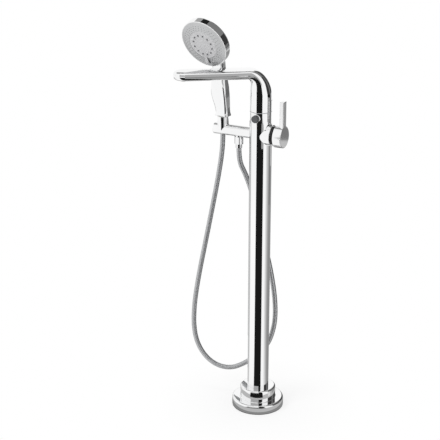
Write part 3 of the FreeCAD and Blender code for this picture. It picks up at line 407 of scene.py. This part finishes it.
def face_direction(angle):
    """A direction in the spray face's plane: angle is from straight up, anticlockwise as seen."""
    return FACE_UP * math.cos(angle) + FACE_LEFT * math.sin(angle)


def spray_nozzles():
    """Three rows of small rubber domes round the spray face."""
    vertices = []
    faces = []
    *rings, (_, tip_rise) = NOZZLE_OUTLINE
    for radius, proud, count in NOZZLE_ROWS:
        for k in range(count):
            place = FACE_CENTRE + face_direction(2 * math.pi * k / count) * radius + FACE_NORMAL * proud
            first = len(vertices)
            for width, rise in rings:
                for side in range(NOZZLE_SIDES):
                    across = face_direction(2 * math.pi * side / NOZZLE_SIDES)
                    vertices.append(place + (across * width + FACE_NORMAL * rise) * NOZZLE_RADIUS)
            tip = len(vertices)
            vertices.append(place + FACE_NORMAL * tip_rise * NOZZLE_RADIUS)
            for ring in range(len(rings) - 1):
                faces += band_faces(first + ring * NOZZLE_SIDES, NOZZLE_SIDES)
            rim = tip - NOZZLE_SIDES
            for side in range(NOZZLE_SIDES):
                faces.append((rim + side, rim + (side + 1) % NOZZLE_SIDES, tip))
    return add_mesh("spray_nozzles", vertices, faces)


nozzles = spray_nozzles()
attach(nozzles, "handset")
set_material(nozzles, materials["nozzle_rubber"])

# ---- Stage: cards that only the chrome shows, floor, sky and lamps --------------------------
BLACK = 0.010
ARC_STEPS = 48
CEILING = 3.2
# Radii about the column, in metres.
FLANGE_EDGE = 0.0735
FOOT_MIDDLE = 0.088
FOOT_EDGE = 0.14
FRONT_EDGE = 0.125
REAR_EDGE = 0.12
NEAR_WALL = 0.25
UPPER_WALL = 2.5
FRONT_RIM = 2.9
REAR_RIM = 2.85
FAR_WALL = 4.6
# Heights of the flat cards: where two overlap, the upper one shows.
FOOT_LAYER = 0.0004
FRONT_LAYER = 0.0006
FAR_LAYER = 0.0008
REAR_LAYER = 0.0010
TOP_LAYER = 0.0012
# Heights of the upright cards' edges.
NEAR_TOP = 0.706
FRONT_BOTTOM = 0.36
REAR_TOP = 5.0


def emission_card(name, vertices, faces, level):
    """A card of one grey level that only mirrors show."""
    card = add_mesh(name, vertices, faces, smooth=False)
    material = bpy.data.materials.new(name)
    tree = cleared_tree(material)
    glow = add_node(tree, "ShaderNodeEmission", {"Color": (level, level, level, 1)}).outputs[0]
    add_node(tree, "ShaderNodeOutputMaterial", {"Surface": glow})
    card.data.materials.append(material)
    card.visible_camera = False
    card.visible_diffuse = False
    card.visible_shadow = False
    card.visible_transmission = False


def arc_card(name, start, end, edges, level):
    """A card on an arc about the column, between two azimuths in degrees and two edges.

    An edge is given as its radius and its height.
    """
    vertices = []
    for k in range(ARC_STEPS + 1):
        angle = math.radians(start + (end - start) * k / ARC_STEPS)
        for radius, height in edges:
            vertices.append((radius * math.cos(angle), radius * math.sin(angle), height))
    faces = [(2 * k, 2 * k + 1, 2 * k + 3, 2 * k + 2) for k in range(ARC_STEPS)]
    emission_card(name, vertices, faces, level)


def floor_sector(name, start, end, near, far, level, height):
    """A flat card just over the floor, between two radii."""
    arc_card(name, start, end, ((near, height), (far, height)), level)


def wall_sector(name, start, end, radius, low, high, level):
    """An upright card, between two heights."""
    arc_card(name, start, end, ((radius, low), (radius, high)), level)


def ceiling_card(name, left, right, front, back, level):
    """A flat card overhead, between two X and two Y places."""
    plan = [(left, front), (right, front), (right, back), (left, back)]
    emission_card(name, [(x, y, CEILING) for x, y in plan], [(0, 1, 2, 3)], level)


# The column's black stripe, with a low near card that the spout and the riser look over.
floor_sector("card_front_floor", -107, -58, FRONT_EDGE, FRONT_RIM, BLACK, FRONT_LAYER)
wall_sector("card_front_near", -60, -38, NEAR_WALL, 0.0, NEAR_TOP, BLACK)
floor_sector("card_front_foot", -58, -38, FRONT_EDGE, NEAR_WALL, BLACK, FRONT_LAYER)
floor_sector("card_front_grey", -58, -36, NEAR_WALL, FRONT_RIM, 0.35, FRONT_LAYER)
# The grey round the base, darker close to it.
floor_sector("card_foot_near", -180, 180, FLANGE_EDGE, FOOT_MIDDLE, 0.26, FOOT_LAYER)
floor_sector("card_foot_far", -180, 180, FOOT_MIDDLE, FOOT_EDGE, 0.50, FOOT_LAYER)
# The riser's front black band, and the greys of the spout's rounded tip and of its side.
floor_sector("card_front_far", -112, -51, FRONT_RIM, FAR_WALL, BLACK, FRONT_LAYER)
wall_sector("card_front_tall", -112, -58, FAR_WALL, FRONT_BOTTOM, 4.0, 0.45)
wall_sector("card_front_upper", -58, -40, UPPER_WALL, FRONT_BOTTOM, 3.4, 0.42)
# The riser's right black band, and the greys of the mixer handle's side.
floor_sector("card_rear_far", 4, 42, REAR_RIM, FAR_WALL, BLACK, FAR_LAYER)
floor_sector("card_handle_far", 42, 50, REAR_RIM, FAR_WALL, 0.13, FAR_LAYER)
floor_sector("card_handle_side", 38, 50, 1.7, REAR_RIM, 0.15, TOP_LAYER)
floor_sector("card_side_far", 50, 68, REAR_RIM, FAR_WALL, 0.30, FAR_LAYER)
# The column's right side fades to grey, and its left edge has a pale line.
for k, level in enumerate((0.74, 0.50, 0.33, 0.27, 0.26, 0.28, 0.34, 0.36)):
    floor_sector(f"card_rear_{k}", -6 + 15 * k, 9 + 15 * k, REAR_EDGE, REAR_RIM, level, REAR_LAYER)
floor_sector("card_left", 136, 186, REAR_EDGE, FRONT_RIM, 0.60, REAR_LAYER)
# The dark band along the outside of the spout's bend, and the spray head's right rim.
wall_sector("card_rear_tall", 4, 40, FAR_WALL, 0.0, REAR_TOP, 0.04)
wall_sector("card_rear_rim", 40, 56, FAR_WALL, 0.0, REAR_TOP, 0.16)
wall_sector("card_rear_side", 56, 100, FAR_WALL, 0.0, REAR_TOP, 0.06)
ceiling_card("card_above_right", -0.1, 4.6, 0.1, 3.2, 0.20)
# The end face of the mixer's knob, darker towards its upper edge.
floor_sector("card_knob_pale", 55, 75, 2.2, 2.62, 0.55, TOP_LAYER)
floor_sector("card_knob_dark", 55, 75, 2.62, REAR_RIM, 0.20, TOP_LAYER)
# The thin dark lines along the lower and upper sides of the crossbar.
floor_sector("card_behind", 114, 136, 0.45, FRONT_RIM, 0.10, REAR_LAYER)
ceiling_card("card_above_left", -2.6, -1.1, -0.4, 2.4, 0.38)
ceiling_card("card_above_dark", -1.1, -0.1, 0.35, 1.15, 0.015)

# Cameras and mirrors see a white floor, with a faint shadow near the base. Other rays find it matt.
FLOOR_HALF = 30
FLOOR_NEAR = 0.08
FLOOR_FAR = 0.30
FLOOR_GREY = (0.86, 0.86, 0.86, 1)
WHITE_NEAR = 0.72
WHITE_FAR = 1.0
WHITE = (1, 1, 1, 1)
SKY_LIGHT = 0.75
SKY_SHOWN = 1.0

floor_corners = [(x * FLOOR_HALF, y * FLOOR_HALF, 0) for x, y in ((-1, -1), (1, -1), (1, 1), (-1, 1))]
floor = add_mesh("floor", floor_corners, [(0, 1, 2, 3)], smooth=False)
floor_material = bpy.data.materials.new("floor")
tree = cleared_tree(floor_material)
position = add_node(tree, "ShaderNodeNewGeometry").outputs["Position"]
distance = add_node(tree, "ShaderNodeVectorMath", {0: position}, operation="LENGTH").outputs["Value"]
paleness = ranged(tree, distance, WHITE_NEAR, WHITE_FAR, start=FLOOR_NEAR, end=FLOOR_FAR)
matt = add_node(tree, "ShaderNodeBsdfDiffuse", {"Color": FLOOR_GREY}).outputs[0]
white = add_node(tree, "ShaderNodeEmission", {"Strength": 1.0}).outputs[0]
seen = rays_seen(tree, "Is Camera Ray", "Is Glossy Ray")
share = calculate(tree, "MULTIPLY", seen, paleness)
surface = add_node(tree, "ShaderNodeMixShader", {0: share, 1: matt, 2: white}).outputs[0]
add_node(tree, "ShaderNodeOutputMaterial", {"Surface": surface})
floor.data.materials.append(floor_material)

world = bpy.data.worlds.new("world")
scene.world = world
tree = cleared_tree(world)
seen = rays_seen(tree, "Is Camera Ray", "Is Glossy Ray", "Is Transmission Ray")
plain = add_node(tree, "ShaderNodeBackground", {"Color": WHITE, "Strength": SKY_LIGHT}).outputs[0]
shown = add_node(tree, "ShaderNodeBackground", {"Color": WHITE, "Strength": SKY_SHOWN}).outputs[0]
sky = add_node(tree, "ShaderNodeMixShader", {0: seen, 1: plain, 2: shown}).outputs[0]
add_node(tree, "ShaderNodeOutputWorld", {"Surface": sky})


def soft_lamp(name, place, target, size, power):
    """A round lamp that shines at a target and that mirrors don't show."""
    data = bpy.data.lights.new(name, "AREA")
    data.shape = "DISK"
    data.size = size
    data.energy = power
    lamp = bpy.data.objects.new(name, data)
    scene.collection.objects.link(lamp)
    lamp.location = place
    lamp.rotation_euler = (Vector(target) - Vector(place)).to_track_quat("-Z", "Y").to_euler()
    lamp.visible_glossy = False


soft_lamp("key_lamp", place=(-1.6, -2.4, 3.0), target=(0, 0, 0.6), size=1.6, power=45)
soft_lamp("top_lamp", place=(0.4, 0.2, 3.4), target=(0, 0, 0.5), size=1.8, power=20)
